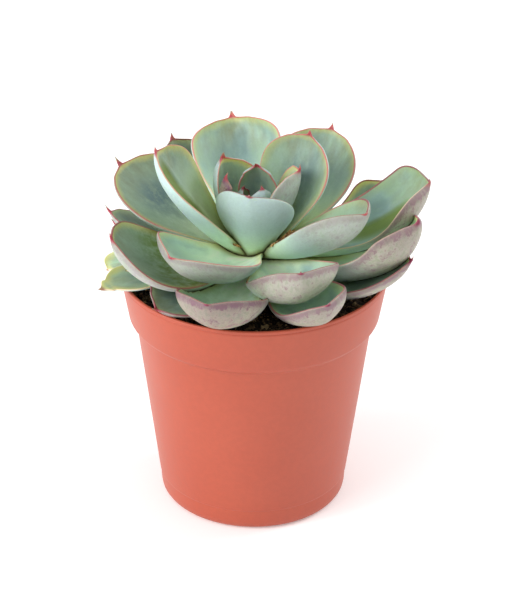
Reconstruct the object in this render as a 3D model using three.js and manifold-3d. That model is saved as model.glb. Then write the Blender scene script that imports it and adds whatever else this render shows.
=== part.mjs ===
// Potted rosette succulent, in millimetres, +Z up, origin on the table under the middle of the pot.
// Fleshy leaves stand round a short stem by the golden angle, over the soil of a plastic nursery pot.
import * as THREE from 'three';
import { mergeVertices } from 'three/addons/utils/BufferGeometryUtils.js';
import Module from 'manifold-3d';

const wasm = await Module();
wasm.setup();

// Pot: a nursery pot with a deep collar under its rim.
const potHeight = 98.3;
const rimRadius = 52.5;
const lipHeight = 1.5;
const collarTopRadius = 52;
const collarBottomRadius = 48.9;
const collarHeight = 18.8;
const collarStepHeight = 2.4;
const bodyTopRadius = 46.3;
const collarStep = collarBottomRadius - bodyTopRadius;
const bodyBottomRadius = 36.7;
const ledgeHeight = 9;
const ledgeDepth = 0.25;
const rimRound = 0.4;
const footRadius = 33;
const footFillet = 3.6;
const filletSteps = 3;
const wall = 1.2;
const floorThick = 3.2;
const floorCorner = 8;
const baseLift = 2;
const padRadius = 9;
const footInnerRadius = 28.5;
const drainHoleCount = 8;
const drainHoleRadius = 3;
const drainHoleSides = 12;
const drainHoleCircle = 19;
const potSides = 48;

// Soil: fills the pot to a few millimetres under the rim.
const soilTop = 92.6;
const soilRelief = 0.7;
const soilEdgeDrop = 0.8;
const soilSwell = 3.2;
const crumbShare = 0.65;
const soilRings = 7;

// Stem: short, standing in a plain hole in the soil.
const stemFoot = 74;
const stemRadius = 6;
const stemFullHeight = 82;
const stemFootRadius = 4.5;
const stemShoulder = 107;
const stemTop = 111;
const stemTopRadius = 2.6;
const stemSides = 20;

// Free space left between pieces that touch, and how far a cut face may be smoothed.
const gap = 0.3;
const smoothing = 0.09;

// Rosette rule: leaf 0 is the youngest that stands apart from the bud.
const goldenAngle = 137.5;
const firstAngle = -59.5;
const crownHeight = 110.75;
const leafSpacing = 0.45;
const insertRadius = 6.5;
const fullGrownOrder = 5;

// Leaf outline and section, shared by every leaf.
const shoulder = 0.62;
const footWidth = 0.34;
const flare = 1.35;
const tipRound = 2.3;
const tipBlunt = 0.6;
const curlStart = 1.6;
const sweepStart = 1.5;
const twistStart = 0.7;
const bladeEdge = 0.8;
const fleshSpread = 0.8;
const fleshAtFoot = 0.6;
const mucroLength = 2.6;
const mucroRadius = 1;
const leastMucroRadius = 0.4;
const mucroHook = 0.9;
const rootLength = 2;
const lastStation = 0.985;
const leafStations = 9;
const budStations = 6;
const spineSteps = 60;
const upperPoints = [-1, -0.5, 0, 0.5, 1];
const lowerPoints = [1, 0.6, 0, -0.6, -1];

// Each leaf that the photo shows: its order on the spiral from the bud outwards, its turn off the
// golden angle (degrees), length and width along the curve (mm), pitch at the stem and at the tip,
// half-angle of cupping, twist, and sideways sweep (degrees), and depth of flesh (mm).
const seenLeaves = [
  [1, -4, 30, 17, 78, 118, 44, 10, -8, 2.2],
  [2, -15, 29, 12, 67, 93, 42, -4, -4, 2.2],
  [3, 2, 33, 23, 73, 67, 56, -7, -4, 2.6],
  [4, 4, 32, 28, 58, 85, 67, 1, 2, 1.6],
  [5, 1, 36, 32, 59, 65, 44, -5, -14, 2.7],
  [6, -14, 44, 36, 58, 77, 27, 7, 11, 3.3],
  [7, 14, 53, 38, 47, 64, 34, -8, -22, 4],
  [8, 8, 53, 34, 22, 52, 62, 0, -12, 4],
  [9, 2, 57, 43, 26, 42, 65, -11, 0, 4],
  [10, 6, 54, 44, 8, 45, 44, -3, -15, 4],
  [11, -6, 73, 42, -2.5, 74, 54, 15, -30, 1.8],
  [12, 7, 57, 40, 19, 36, 34, -13, -6, 4],
  [13, 9, 57, 38, -8, 67, 46, 11, -30, 4],
  [14, -14, 56, 38, 27, 53, 34, 10, 8, 4],
  [15, 6, 62, 40, -2, 60, 26, -20, 3, 4],
  [16, 2, 72, 34, -6.5, 75, 58, 1, -19, 4],
  [17, 7, 58, 34, 12, 60, 47, 7, 6, 4],
  [18, -1, 66, 38, -14, 57, 54, 0, 2, 4],
  [19, -7, 58, 23, -6, 67, 36, -11, 9, 3],
  [20, 2, 53, 30, 5, 36, 20, 14, -5, 4],
  [21, -4, 62, 30, -14, 53, 44, 20, -26, 4],
  [23, 6, 47, 30, -3, 6, 28, -16, -5, 3],
  [24, 2, 50, 32, -2, 22, 36, 0, 0, 4],
  [27, 0, 42, 28, 6, 14, 30, 0, 0, 3],
  [28, -20, 53.5, 19, 5, 2, 14, 0, 55, 1.8],
  [29, 8, 62, 30, -3, 48, 34, 11, 1, 4],
  [36, -14, 57.5, 19, 12.5, -0.5, 17, -5, 22, 1.1],
];

// Leaves with an outline of their own, as order, shoulder and tip bluntness.
const ownOutlines = [
  [9, 0.7, 0.85],
  [11, 0.8, 0.52],
  [16, 0.79, 0.9],
  [19, 0.83, 0.6],
  [28, 0.8, 0.7],
  [36, 0.76, 1.25],
];

// Horny points of another length than the usual one, as order and length in millimetres.
const ownMucros = [
  [5, 0.9], [8, 0.9], [10, 1.2], [11, 1.8], [12, 4], [13, 0.9], [18, 0.7], [19, 0.4], [20, 4],
  [21, 0.9], [28, 0.8],
];

// Older leaves that the others hide, all but flat, each lower than the last.
const hiddenOrders = [22, 25, 30, 32, 33, 35];
const hiddenLength = 50;
const hiddenWidth = 33;
const hiddenFirstRise = 16;
const hiddenRiseDrop = 0.8;
const hiddenFirstLift = 34;
const hiddenLiftDrop = 1.3;
const hiddenCup = 36;
const hiddenTurnSpread = 6;
const hiddenLengthSpread = 4;
const hiddenFlesh = 3.6;
const oldestFlesh = 1.8;
const oldestOrder = 32;

// Bud: the four youngest leaves, grown together over a small core.
const budOrders = [0, -1, -2, -3];
const budFirstLength = 23;
const budLengthDrop = 3;
const budFirstWidth = 12;
const budWidthDrop = 1.4;
const budRise = 79;
const budLift = 102;
const budCup = 50;
const budFlesh = 1.4;
const budMucroShare = 0.6;
const budCoreRadius = 3.2;
const budCoreHeight = 7;
const budCoreSides = 12;
const budSeat = 112;

const randomSeed = 7;
const random = seededRandom(randomSeed);
const potMaterial = surface('pot', 0xcf6b52, 0.42);
const soilMaterial = surface('soil', 0x2b211b, 0.95);
const stemMaterial = surface('stem', 0x8a8a5c, 0.8);
const leafMaterial = surface('leaf', 0x8fae97, 0.55);
const budMaterial = surface('bud', 0x5f8a7d, 0.55);

function surface(name, color, roughness) {
  return new THREE.MeshStandardMaterial({ name, color, roughness, metalness: 0 });
}

// A repeatable stream of numbers from 0 to 1, by the classic multiply-and-remainder rule.
function seededRandom(seed) {
  const multiplier = 16807;
  const modulus = 2147483647;
  let state = seed;
  return () => {
    state = (state * multiplier) % modulus;
    return state / modulus;
  };
}

function radians(degrees) {
  return THREE.MathUtils.degToRad(degrees);
}

function toManifold(geometry) {
  geometry.deleteAttribute('normal');
  geometry.deleteAttribute('uv');
  const merged = mergeVertices(geometry, 1e-4);
  return fromArrays(merged.attributes.position.array, merged.index.array);
}

function fromArrays(positions, triangles) {
  const mesh = new wasm.Mesh({
    numProp: 3,
    vertProperties: Float32Array.from(positions),
    triVerts: Uint32Array.from(triangles),
  });
  return new wasm.Manifold(mesh);
}

function toGeometry(solid) {
  const mesh = solid.getMesh();
  const geometry = new THREE.BufferGeometry();
  geometry.setAttribute('position', new THREE.BufferAttribute(mesh.vertProperties, mesh.numProp));
  geometry.setIndex(new THREE.BufferAttribute(mesh.triVerts, 1));
  geometry.computeVertexNormals();
  return geometry;
}

// A solid turned about Z from [radius, height] points; the lathe's own axis is Y.
function turned(profile, sides) {
  const points = profile.map(([radius, height]) => new THREE.Vector2(radius, height));
  const geometry = new THREE.LatheGeometry(points, sides);
  geometry.rotateX(Math.PI / 2);
  return toManifold(geometry);
}

function largestBody(solid) {
  const bodies = solid.decompose();
  bodies.sort((a, b) => b.volume() - a.volume());
  return bodies[0];
}

// Half the leaf's width: swells from its foot to the shoulder, then rounds off to a blunt tip.
function halfWidth(t, leaf) {
  if (t < leaf.shoulder) {
    const swell = Math.sin((Math.PI / 2) * Math.max(t, 0) / leaf.shoulder) ** flare;
    return (leaf.width / 2) * (footWidth + (1 - footWidth) * swell);
  }
  const past = (t - leaf.shoulder) / (1 - leaf.shoulder);
  return (leaf.width / 2) * (1 - past ** tipRound) ** leaf.tipBlunt;
}

// Flesh under the blade: full from halfway, thinner at the foot, gone at the tip.
function fleshAt(t, flesh) {
  const rise = Math.sin((Math.PI / 2) * Math.min(Math.max(t, 0) / 0.5, 1));
  return flesh * (fleshAtFoot + (1 - fleshAtFoot) * rise) * (1 - Math.max(t, 0) ** 6);
}

// Points along the leaf's middle, with its direction there, walked out from the stem.
function spineOf(leaf) {
  const start = radians(leaf.azimuth);
  const stations = [];
  const point = new THREE.Vector3(
    leaf.startRadius * Math.cos(start), leaf.startRadius * Math.sin(start), leaf.startHeight);
  const stepLength = leaf.length / spineSteps;
  let before = null;
  for (let step = 0; step <= spineSteps; step += 1) {
    const t = step / spineSteps;
    const pitch = radians(leaf.rise + (leaf.lift - leaf.rise) * t ** curlStart);
    const heading = start + radians(leaf.sweep) * t ** sweepStart;
    const along = new THREE.Vector3(
      Math.cos(pitch) * Math.cos(heading), Math.cos(pitch) * Math.sin(heading), Math.sin(pitch));
    if (before) {
      point.addScaledVector(before, stepLength / 2).addScaledVector(along, stepLength / 2);
    }
    stations.push({ point: point.clone(), along, heading, t });
    before = along;
  }
  return stations;
}

// The frame at one place on the leaf: point, direction, side and face normal, with the twist put on.
function frameAt(leaf, spine, t) {
  const place = Math.min(Math.max(t, 0), 1) * spineSteps;
  const low = Math.min(Math.floor(place), spineSteps - 1);
  const share = place - low;
  const point = spine[low].point.clone().lerp(spine[low + 1].point, share);
  const along = spine[low].along.clone().lerp(spine[low + 1].along, share).normalize();
  const heading = THREE.MathUtils.lerp(spine[low].heading, spine[low + 1].heading, share);
  const level = new THREE.Vector3(-Math.sin(heading), Math.cos(heading), 0);
  const face = along.clone().cross(level);
  const twist = radians(leaf.twist) * Math.min(Math.max(t, 0), 1) ** twistStart;
  const side = level.clone().multiplyScalar(Math.cos(twist)).addScaledVector(face, Math.sin(twist));
  const normal = face.multiplyScalar(Math.cos(twist)).addScaledVector(level, -Math.sin(twist));
  return { point, along, side, normal };
}

// One closed ring of the leaf: the cupped upper face, then the fleshy underside back again.
// grow widens and thickens the ring evenly, for the space that a neighbour must leave.
function leafRing(leaf, frame, half, flesh, grow) {
  const cup = radians(leaf.cup);
  const reach = half + grow;
  const place = (v, depth) => {
    const point = frame.point.clone();
    point.addScaledVector(frame.side, reach * Math.sin(cup * v) / cup + depth * Math.sin(cup * v));
    point.addScaledVector(frame.normal, reach * (1 - Math.cos(cup * v)) / cup - depth * Math.cos(cup * v));
    return point;
  };
  const upper = upperPoints.map((v) => place(v, -grow));
  const lower = lowerPoints.map((v) => place(v, bladeEdge + flesh * (1 - v * v) ** fleshSpread + grow));
  return upper.concat(lower);
}

// A leaf as a closed solid: rings from inside the stem to the tip, then a small horny point.
function leafSolid(leaf, grow) {
  const spine = spineOf(leaf);
  const rings = [];
  const root = frameAt(leaf, spine, 0);
  root.point.addScaledVector(root.along, -rootLength);
  rings.push(leafRing(leaf, root, halfWidth(0, leaf), fleshAt(0, leaf.flesh), grow));
  for (let station = 0; station < leaf.stations; station += 1) {
    const t = lastStation * Math.sin((Math.PI / 2) * station / (leaf.stations - 1));
    const frame = frameAt(leaf, spine, t);
    rings.push(leafRing(leaf, frame, halfWidth(t, leaf), fleshAt(t, leaf.flesh), grow));
  }
  const tip = frameAt(leaf, spine, 1);
  tip.point.addScaledVector(tip.along, grow);
  const mucroShare = Math.min(leaf.mucro / mucroLength, 1);
  rings.push(leafRing(leaf, tip, Math.max(mucroRadius * mucroShare, leastMucroRadius), 0, grow));
  const point = tip.point.clone().addScaledVector(tip.along, leaf.mucro + grow);
  point.addScaledVector(tip.normal, mucroHook * mucroShare - bladeEdge / 2);
  return closedRings(rings, root.point.clone().addScaledVector(root.normal, -bladeEdge), point);
}

// A closed solid from rings of points, capped by a point at each end.
function closedRings(rings, startPoint, endPoint) {
  const count = rings[0].length;
  const positions = [];
  rings.flat().forEach((point) => positions.push(point.x, point.y, point.z));
  positions.push(startPoint.x, startPoint.y, startPoint.z, endPoint.x, endPoint.y, endPoint.z);
  const startIndex = rings.length * count;
  const endIndex = startIndex + 1;
  const lastRing = (rings.length - 1) * count;
  const triangles = [];
  for (let side = 0; side < count; side += 1) {
    const next = (side + 1) % count;
    triangles.push(startIndex, side, next);
    triangles.push(endIndex, lastRing + next, lastRing + side);
    for (let ring = 0; ring < rings.length - 1; ring += 1) {
      const low = ring * count;
      const high = low + count;
      triangles.push(low + side, high + next, low + next);
      triangles.push(low + side, high + side, high + next);
    }
  }
  return fromArrays(positions, triangles);
}

// Where a leaf of this order starts, from the spiral rule.
function onSpiral(order) {
  const young = Math.max(fullGrownOrder - order, 0);
  return {
    order,
    azimuth: firstAngle + goldenAngle * order,
    startRadius: insertRadius - leafSpacing * young,
    startHeight: crownHeight - leafSpacing * order,
    shoulder,
    tipBlunt,
    mucro: mucroLength,
  };
}

// Puts a leaf's own outline and point length, where it has them, over the usual ones.
function withOwnEnds(leaf) {
  const outline = ownOutlines.find(([order]) => order === leaf.order);
  if (outline) {
    [, leaf.shoulder, leaf.tipBlunt] = outline;
  }
  const point = ownMucros.find(([order]) => order === leaf.order);
  if (point) {
    [, leaf.mucro] = point;
  }
  return leaf;
}

function seenLeaf([order, turn, length, width, rise, lift, cup, twist, sweep, flesh]) {
  const leaf = onSpiral(order);
  leaf.azimuth += turn;
  return withOwnEnds(Object.assign(leaf, {
    length, width, rise, lift, cup, twist, sweep, flesh, stations: leafStations,
  }));
}

function hiddenLeaf(order) {
  const age = order - hiddenOrders[0];
  const leaf = onSpiral(order);
  leaf.azimuth += hiddenTurnSpread * (2 * random() - 1);
  return Object.assign(leaf, {
    length: hiddenLength + hiddenLengthSpread * random(),
    width: hiddenWidth,
    rise: hiddenFirstRise - hiddenRiseDrop * age,
    lift: hiddenFirstLift - hiddenLiftDrop * age,
    cup: hiddenCup,
    twist: 0,
    sweep: 0,
    flesh: order < oldestOrder ? hiddenFlesh : oldestFlesh,
    stations: leafStations,
  });
}

function budLeaf(order, index) {
  return Object.assign(onSpiral(order), {
    length: budFirstLength - budLengthDrop * index,
    width: budFirstWidth - budWidthDrop * index,
    rise: budRise,
    lift: budLift,
    cup: budCup,
    twist: 0,
    sweep: 0,
    flesh: budFlesh,
    mucro: mucroLength * budMucroShare,
    stations: budStations,
  });
}

function stemSolid(grow) {
  return turned([
    [0, stemFoot - grow],
    [stemFootRadius + grow, stemFoot - grow],
    [stemRadius + grow, stemFullHeight],
    [stemRadius + grow, stemShoulder],
    [stemTopRadius + grow, stemTop + grow],
    [0, stemTop + grow],
  ], stemSides);
}

// The bud: its leaves rise from a small rounded core that sits on the stem's top.
function budSolid(grow) {
  let bud = turned([
    [0, budSeat - grow],
    [budCoreRadius + grow, budSeat - grow],
    [budCoreRadius * 0.9 + grow, budSeat + budCoreHeight * 0.5],
    [budCoreRadius * 0.5 + grow, budSeat + budCoreHeight * 0.9 + grow],
    [0, budSeat + budCoreHeight + grow],
  ], budCoreSides);
  budOrders.forEach((order, index) => {
    bud = bud.add(leafSolid(budLeaf(order, index), grow));
  });
  return bud;
}

function footArc() {
  const points = [];
  for (let step = 0; step <= filletSteps; step += 1) {
    const angle = (Math.PI / 2) * (step / filletSteps);
    const radius = footRadius + (bodyBottomRadius - footRadius) * Math.sin(angle);
    points.push([radius, footFillet * (1 - Math.cos(angle))]);
  }
  return points;
}

// Radius of the pot's outside at a height on its tapered body.
function bodyRadius(height) {
  const bodyTop = potHeight - collarHeight - collarStepHeight;
  const share = (height - footFillet) / (bodyTop - footFillet);
  return bodyBottomRadius + (bodyTopRadius - bodyBottomRadius) * share;
}

// The pot's inside, from the floor to the rim, moved in from the outside by inset.
function insideProfile(inset) {
  const collarBottom = potHeight - collarHeight;
  const bodyTop = collarBottom - collarStepHeight;
  const floor = floorThick + inset;
  return [
    [footRadius - wall - inset, floor],
    [bodyRadius(floorCorner) - wall - inset, floorCorner],
    [bodyTopRadius - wall - inset, bodyTop + wall],
    [collarBottomRadius - wall - inset, collarBottom + wall],
    [collarTopRadius - wall - inset, potHeight - lipHeight],
  ];
}

function potSolid() {
  const collarBottom = potHeight - collarHeight;
  const bodyTop = collarBottom - collarStepHeight;
  const inside = insideProfile(0).reverse();
  const shell = turned([
    [0, 0],
    [padRadius, 0],
    [padRadius + baseLift / 2, baseLift],
    [footInnerRadius - baseLift / 2, baseLift],
    [footInnerRadius, 0],
    ...footArc(),
    [bodyRadius(ledgeHeight) - ledgeDepth, ledgeHeight],
    [bodyRadius(ledgeHeight) + ledgeDepth / 2, ledgeHeight + ledgeDepth],
    [bodyTopRadius, bodyTop],
    [bodyTopRadius + collarStep / 3, bodyTop + collarStepHeight / 5],
    [collarBottomRadius - collarStep / 4, collarBottom - collarStepHeight / 3],
    [collarBottomRadius, collarBottom],
    [collarTopRadius, potHeight - lipHeight],
    [rimRadius, potHeight - lipHeight + rimRound],
    [rimRadius, potHeight - rimRound],
    [rimRadius - rimRound, potHeight],
    [rimRadius - wall, potHeight],
    ...inside,
    [0, floorThick],
  ], potSides);
  let pot = shell;
  for (let hole = 0; hole < drainHoleCount; hole += 1) {
    const angle = 2 * Math.PI * (hole + 0.5) / drainHoleCount;
    const drill = new THREE.CylinderGeometry(
      drainHoleRadius, drainHoleRadius, 3 * floorThick, drainHoleSides);
    drill.rotateX(Math.PI / 2);
    drill.translate(drainHoleCircle * Math.cos(angle), drainHoleCircle * Math.sin(angle), floorThick / 2);
    pot = pot.subtract(toManifold(drill));
  }
  return pot;
}

// Height of the soil at a point: a slow swell round the pot, and crumbs that change from point to point.
function soilHeight(radius, angle) {
  const swell = Math.sin(radius / soilSwell + 3 * angle) * Math.cos(2 * angle);
  const crumb = 2 * random() - 1;
  return soilTop + soilRelief * (swell * (1 - crumbShare) + crumb * crumbShare);
}

// The soil: a plug turned to fit the pot, its top rows lifted and sunk into crumbs.
function soilSolid() {
  const inside = insideProfile(gap);
  const edgeHeight = soilTop - soilEdgeDrop;
  const below = inside.filter(([, height]) => height < edgeHeight);
  const [lastRadius, lastHeight] = below[below.length - 1];
  const [topRadius, topHeight] = inside[inside.length - 1];
  const share = (edgeHeight - lastHeight) / (topHeight - lastHeight);
  const edgeRadius = lastRadius + (topRadius - lastRadius) * share;
  const profile = [[0, floorThick + gap], ...below, [edgeRadius, edgeHeight]];
  for (let ring = soilRings - 1; ring >= 0; ring -= 1) {
    profile.push([edgeRadius * (ring / soilRings), soilTop]);
  }
  const points = profile.map(([radius, height]) => new THREE.Vector2(radius, height));
  const geometry = new THREE.LatheGeometry(points, potSides);
  geometry.rotateX(Math.PI / 2);
  geometry.deleteAttribute('normal');
  geometry.deleteAttribute('uv');
  const merged = mergeVertices(geometry, 1e-4);
  const position = merged.attributes.position;
  for (let index = 0; index < position.count; index += 1) {
    if (position.getZ(index) > edgeHeight + soilEdgeDrop / 2) {
      const x = position.getX(index);
      const y = position.getY(index);
      position.setZ(index, soilHeight(Math.hypot(x, y), Math.atan2(y, x)));
    }
  }
  return fromArrays(position.array, merged.index.array);
}

const part = new THREE.Group();

function place(name, solid, material) {
  const mesh = new THREE.Mesh(toGeometry(solid), material);
  mesh.name = name;
  part.add(mesh);
}

const leaves = seenLeaves.map(seenLeaf).concat(hiddenOrders.map(hiddenLeaf));
leaves.sort((a, b) => a.order - b.order);
const stemSpace = stemSolid(gap);
const taken = [stemSpace, budSolid(gap)];
leaves.forEach((leaf) => {
  let solid = leafSolid(leaf, 0);
  taken.forEach((space) => {
    solid = solid.subtract(space);
  });
  const body = largestBody(solid.simplify(smoothing));
  taken.push(leafSolid(leaf, gap));
  place(`leaf_${String(leaf.order).padStart(2, '0')}`, body, leafMaterial);
});

place('bud', budSolid(0).subtract(stemSpace).simplify(smoothing), budMaterial);
place('stem', stemSolid(0), stemMaterial);
place('soil', soilSolid().subtract(stemSpace).simplify(smoothing), soilMaterial);
place('pot', potSolid(), potMaterial);

export default part;
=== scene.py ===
# Potted rosette succulent: a finely modelled skin for every leaf, the bud, stem, soil and pot.
# Sizes are millimetres in the dictionaries and become metres when a mesh is made. The studio is in
# metres, and so is what a shader alone uses, such as a bump's depth or how close two leaves are.
import math

import bmesh
import bpy
import numpy as np
from mathutils import Matrix, Vector


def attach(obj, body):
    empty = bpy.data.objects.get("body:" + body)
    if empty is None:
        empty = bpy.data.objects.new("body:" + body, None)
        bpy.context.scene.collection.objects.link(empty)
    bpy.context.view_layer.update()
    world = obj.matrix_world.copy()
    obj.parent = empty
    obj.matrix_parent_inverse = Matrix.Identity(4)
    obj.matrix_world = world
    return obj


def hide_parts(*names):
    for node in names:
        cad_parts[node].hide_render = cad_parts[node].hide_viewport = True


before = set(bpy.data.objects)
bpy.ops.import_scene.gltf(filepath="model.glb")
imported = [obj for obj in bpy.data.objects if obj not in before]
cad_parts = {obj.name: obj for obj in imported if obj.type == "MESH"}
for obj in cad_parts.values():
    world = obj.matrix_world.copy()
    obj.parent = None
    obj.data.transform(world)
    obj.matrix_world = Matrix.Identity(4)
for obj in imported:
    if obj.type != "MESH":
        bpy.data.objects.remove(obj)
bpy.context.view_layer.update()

millimetre = 0.001


# sRGB 0..255 to the linear colour that a shader wants: ((c + 0.055) / 1.055) ^ 2.4
def paint(red, green, blue):
    shares = np.array([red, green, blue]) / 255
    low = shares / 12.92
    high = ((shares + 0.055) / 1.055) ** 2.4
    return tuple(np.where(shares <= 0.04045, low, high)) + (1.0,)


# Smooth step: 0 below low, 1 above high, 3x^2 - 2x^3 between them
def smoothStep(low, high, value):
    share = np.clip((value - low) / (high - low), 0, 1)
    return share * share * (3 - 2 * share)


# Soft lumps: a few sine waves over u and v with drawn directions, their sum divided by the root
# of their number
def ripples(random, u, v, waves=5):
    total = np.zeros(np.broadcast(u, v).shape)
    for _ in range(waves):
        alongU, alongV = random.uniform(-1, 1, 2)
        phase = random.uniform(0, 2 * math.pi)
        total = total + np.sin(2 * math.pi * (alongU * u + alongV * v) + phase)
    return total / math.sqrt(waves)


# Value noise from 0 to 1: drawn numbers on a square lattice, joined by smooth steps
def latticeNoise(x, y, cell, seed):
    side = 257
    lattice = np.random.default_rng(seed).random((side, side))
    column, row = np.asarray(x) / cell, np.asarray(y) / cell
    left, low = np.floor(column).astype(int), np.floor(row).astype(int)
    across = smoothStep(0, 1, column - left)
    up = smoothStep(0, 1, row - low)

    def corner(i, j):
        return lattice[(left + i) % side, (low + j) % side]

    bottom = corner(0, 0) * (1 - across) + corner(1, 0) * across
    top = corner(0, 1) * (1 - across) + corner(1, 1) * across
    return bottom * (1 - up) + top * up


# Six times the volume inside the faces, each taken as a fan: positive where they face outwards
def signedVolume(points, faces):
    total = 0.0
    for corner in range(1, faces.shape[1] - 1):
        a, b, c = points[faces[:, 0]], points[faces[:, corner]], points[faces[:, corner + 1]]
        total += np.einsum("ij,ij->i", a, np.cross(b, c)).sum()
    return total


# A closed surface from rings of points (rings, around, 3) and a pole at each end, its faces turned
# round where their volume comes out negative
def closedGrid(rings, startPole, endPole):
    count, around = rings.shape[:2]
    points = np.vstack([rings.reshape(-1, 3), startPole, endPole])
    ring, side = np.meshgrid(np.arange(count - 1), np.arange(around), indexing="ij")
    following = (side + 1) % around
    quads = np.stack([ring * around + side, ring * around + following,
                      (ring + 1) * around + following, (ring + 1) * around + side], axis=-1)
    quads = quads.reshape(-1, 4)
    sides = np.arange(around)
    nextSides = (sides + 1) % around
    last = (count - 1) * around
    startFan = np.stack([nextSides, sides, np.full(around, count * around)], axis=-1)
    endFan = np.stack([last + sides, last + nextSides, np.full(around, count * around + 1)], axis=-1)
    triangles = np.vstack([startFan, endFan])
    if signedVolume(points, quads) + signedVolume(points, triangles) < 0:
        quads = quads[:, ::-1]
        triangles = triangles[:, ::-1]
    return points, quads, triangles


# A mesh object from points in millimetres, face arrays and named attributes of the points
def makePiece(name, points, faceArrays, attributes=None, smooth=True):
    mesh = bpy.data.meshes.new(name)
    faces = [face for array in faceArrays for face in array.tolist()]
    mesh.from_pydata((points * millimetre).tolist(), [], faces)
    for key, values in (attributes or {}).items():
        layer = mesh.attributes.new(key, "FLOAT", "POINT")
        layer.data.foreach_set("value", np.asarray(values, np.float32).ravel())
    mesh.polygons.foreach_set("use_smooth", np.full(len(mesh.polygons), smooth))
    mesh.update()
    piece = bpy.data.objects.new(name, mesh)
    bpy.context.scene.collection.objects.link(piece)
    return piece


# Keeps only the largest part of a mesh: every point takes the lowest number among the points that
# it is joined to, until nothing changes
def keepLargest(piece):
    mesh = piece.data
    ends = np.empty(len(mesh.edges) * 2, np.int64)
    mesh.edges.foreach_get("vertices", ends)
    first, second = ends.reshape(-1, 2).T
    labels = np.arange(len(mesh.vertices))
    while True:
        lowest = np.minimum(labels[first], labels[second])
        spread = labels.copy()
        np.minimum.at(spread, first, lowest)
        np.minimum.at(spread, second, lowest)
        spread = spread[spread]
        if np.array_equal(spread, labels):
            break
        labels = spread
    kept = np.bincount(labels).argmax()
    if (labels == kept).all():
        return
    work = bmesh.new()
    work.from_mesh(mesh)
    work.verts.ensure_lookup_table()
    dropped = [work.verts[index] for index in np.flatnonzero(labels != kept)]
    bmesh.ops.delete(work, geom=dropped, context="VERTS")
    work.to_mesh(mesh)
    work.free()


# Cuts the cutters' space out of a piece and marks the edges that bend more than an angle as sharp
def carve(piece, cutters, solver, sharpAngle):
    for cutter in cutters:
        modifier = piece.modifiers.new("carve", "BOOLEAN")
        modifier.operation = "DIFFERENCE"
        modifier.solver = solver
        modifier.object = cutter
    applyModifiers(piece)
    keepLargest(piece)
    piece.data.set_sharp_from_angle(angle=math.radians(sharpAngle))


# Whether two boxes of points meet
def boxesMeet(first, second):
    return bool(np.all(first.min(0) < second.max(0)) and np.all(second.min(0) < first.max(0)))


# Gives a finished piece its material, hangs it on the root body, and hides the node that it dresses
def finishPiece(piece, material, node):
    piece.data.materials.append(material)
    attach(piece, "root")
    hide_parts(node)


# Puts the result of a piece's modifiers into its mesh
def applyModifiers(piece):
    bpy.context.view_layer.update()
    evaluated = piece.evaluated_get(bpy.context.evaluated_depsgraph_get())
    mesh = bpy.data.meshes.new_from_object(evaluated)
    piece.modifiers.clear()
    piece.data = mesh


# A material with only a Principled shader and its output
def newMaterial(name, roughness, specular=0.5):
    material = bpy.data.materials.new(name)
    material.use_nodes = True
    shader = material.node_tree.nodes["Principled BSDF"]
    shader.inputs["Roughness"].default_value = roughness
    shader.inputs["Specular IOR Level"].default_value = specular
    return material, material.node_tree, shader


# A new shader node with some of its settings
def addNode(tree, kind, **settings):
    node = tree.nodes.new(kind)
    for key, value in settings.items():
        setattr(node, key, value)
    return node


# Links a socket, or sets a plain value, on an input
def feed(tree, socket, value):
    if isinstance(value, bpy.types.NodeSocket):
        tree.links.new(value, socket)
    else:
        socket.default_value = value


# The number that a mesh keeps at its points under this name
def attributeOf(tree, name):
    return addNode(tree, "ShaderNodeAttribute", attribute_name=name).outputs["Fac"]


# Noise on object coordinates, scale features to the metre; stretch multiplies the coordinates
def objectNoise(tree, scale, detail=3, roughness=0.5, stretch=None):
    place = addNode(tree, "ShaderNodeTexCoord").outputs["Object"]
    if stretch:
        mapping = addNode(tree, "ShaderNodeMapping")
        feed(tree, mapping.inputs["Vector"], place)
        mapping.inputs["Scale"].default_value = stretch
        place = mapping.outputs["Vector"]
    noise = addNode(tree, "ShaderNodeTexNoise")
    feed(tree, noise.inputs["Vector"], place)
    noise.inputs["Scale"].default_value = scale
    noise.inputs["Detail"].default_value = detail
    noise.inputs["Roughness"].default_value = roughness
    return noise.outputs["Fac"]


# 0 to 1, smoothly, as value goes from low to high; the other way where low is above high
def rampOf(tree, value, low, high):
    ramp = addNode(tree, "ShaderNodeMapRange", interpolation_type="SMOOTHSTEP")
    feed(tree, ramp.inputs["Value"], value)
    start, end = (low, high) if low < high else (high, low)
    ramp.inputs["From Min"].default_value = start
    ramp.inputs["From Max"].default_value = end
    if low > high:
        ramp.inputs["To Min"].default_value = 1
        ramp.inputs["To Max"].default_value = 0
    return ramp.outputs["Result"]


# Two numbers joined by one operation
def math2(tree, operation, first, second, clamp=False):
    node = addNode(tree, "ShaderNodeMath", operation=operation, use_clamp=clamp)
    feed(tree, node.inputs[0], first)
    feed(tree, node.inputs[1], second)
    return node.outputs[0]


# The product of two numbers
def times(tree, first, second):
    return math2(tree, "MULTIPLY", first, second)


# A smooth ramp of a value, times a strength
def fading(tree, value, low, high, strength):
    return times(tree, rampOf(tree, value, low, high), strength)


# From the first colour to the second as share goes from 0 to 1
def mixColours(tree, share, first, second, blendType="MIX"):
    node = addNode(tree, "ShaderNodeMix", data_type="RGBA", blend_type=blendType)
    feed(tree, node.inputs["Factor"], share)
    feed(tree, node.inputs[6], first)
    feed(tree, node.inputs[7], second)
    return node.outputs[2]


# Bumps laid on one another; each is a height, a strength and a depth in metres
def bumpFrom(tree, shader, layers):
    normal = None
    for height, strength, distance in layers:
        bump = addNode(tree, "ShaderNodeBump")
        bump.inputs["Strength"].default_value = strength
        bump.inputs["Distance"].default_value = distance
        feed(tree, bump.inputs["Height"], height)
        if normal:
            feed(tree, bump.inputs["Normal"], normal)
        normal = bump.outputs["Normal"]
    feed(tree, shader.inputs["Normal"], normal)


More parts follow.
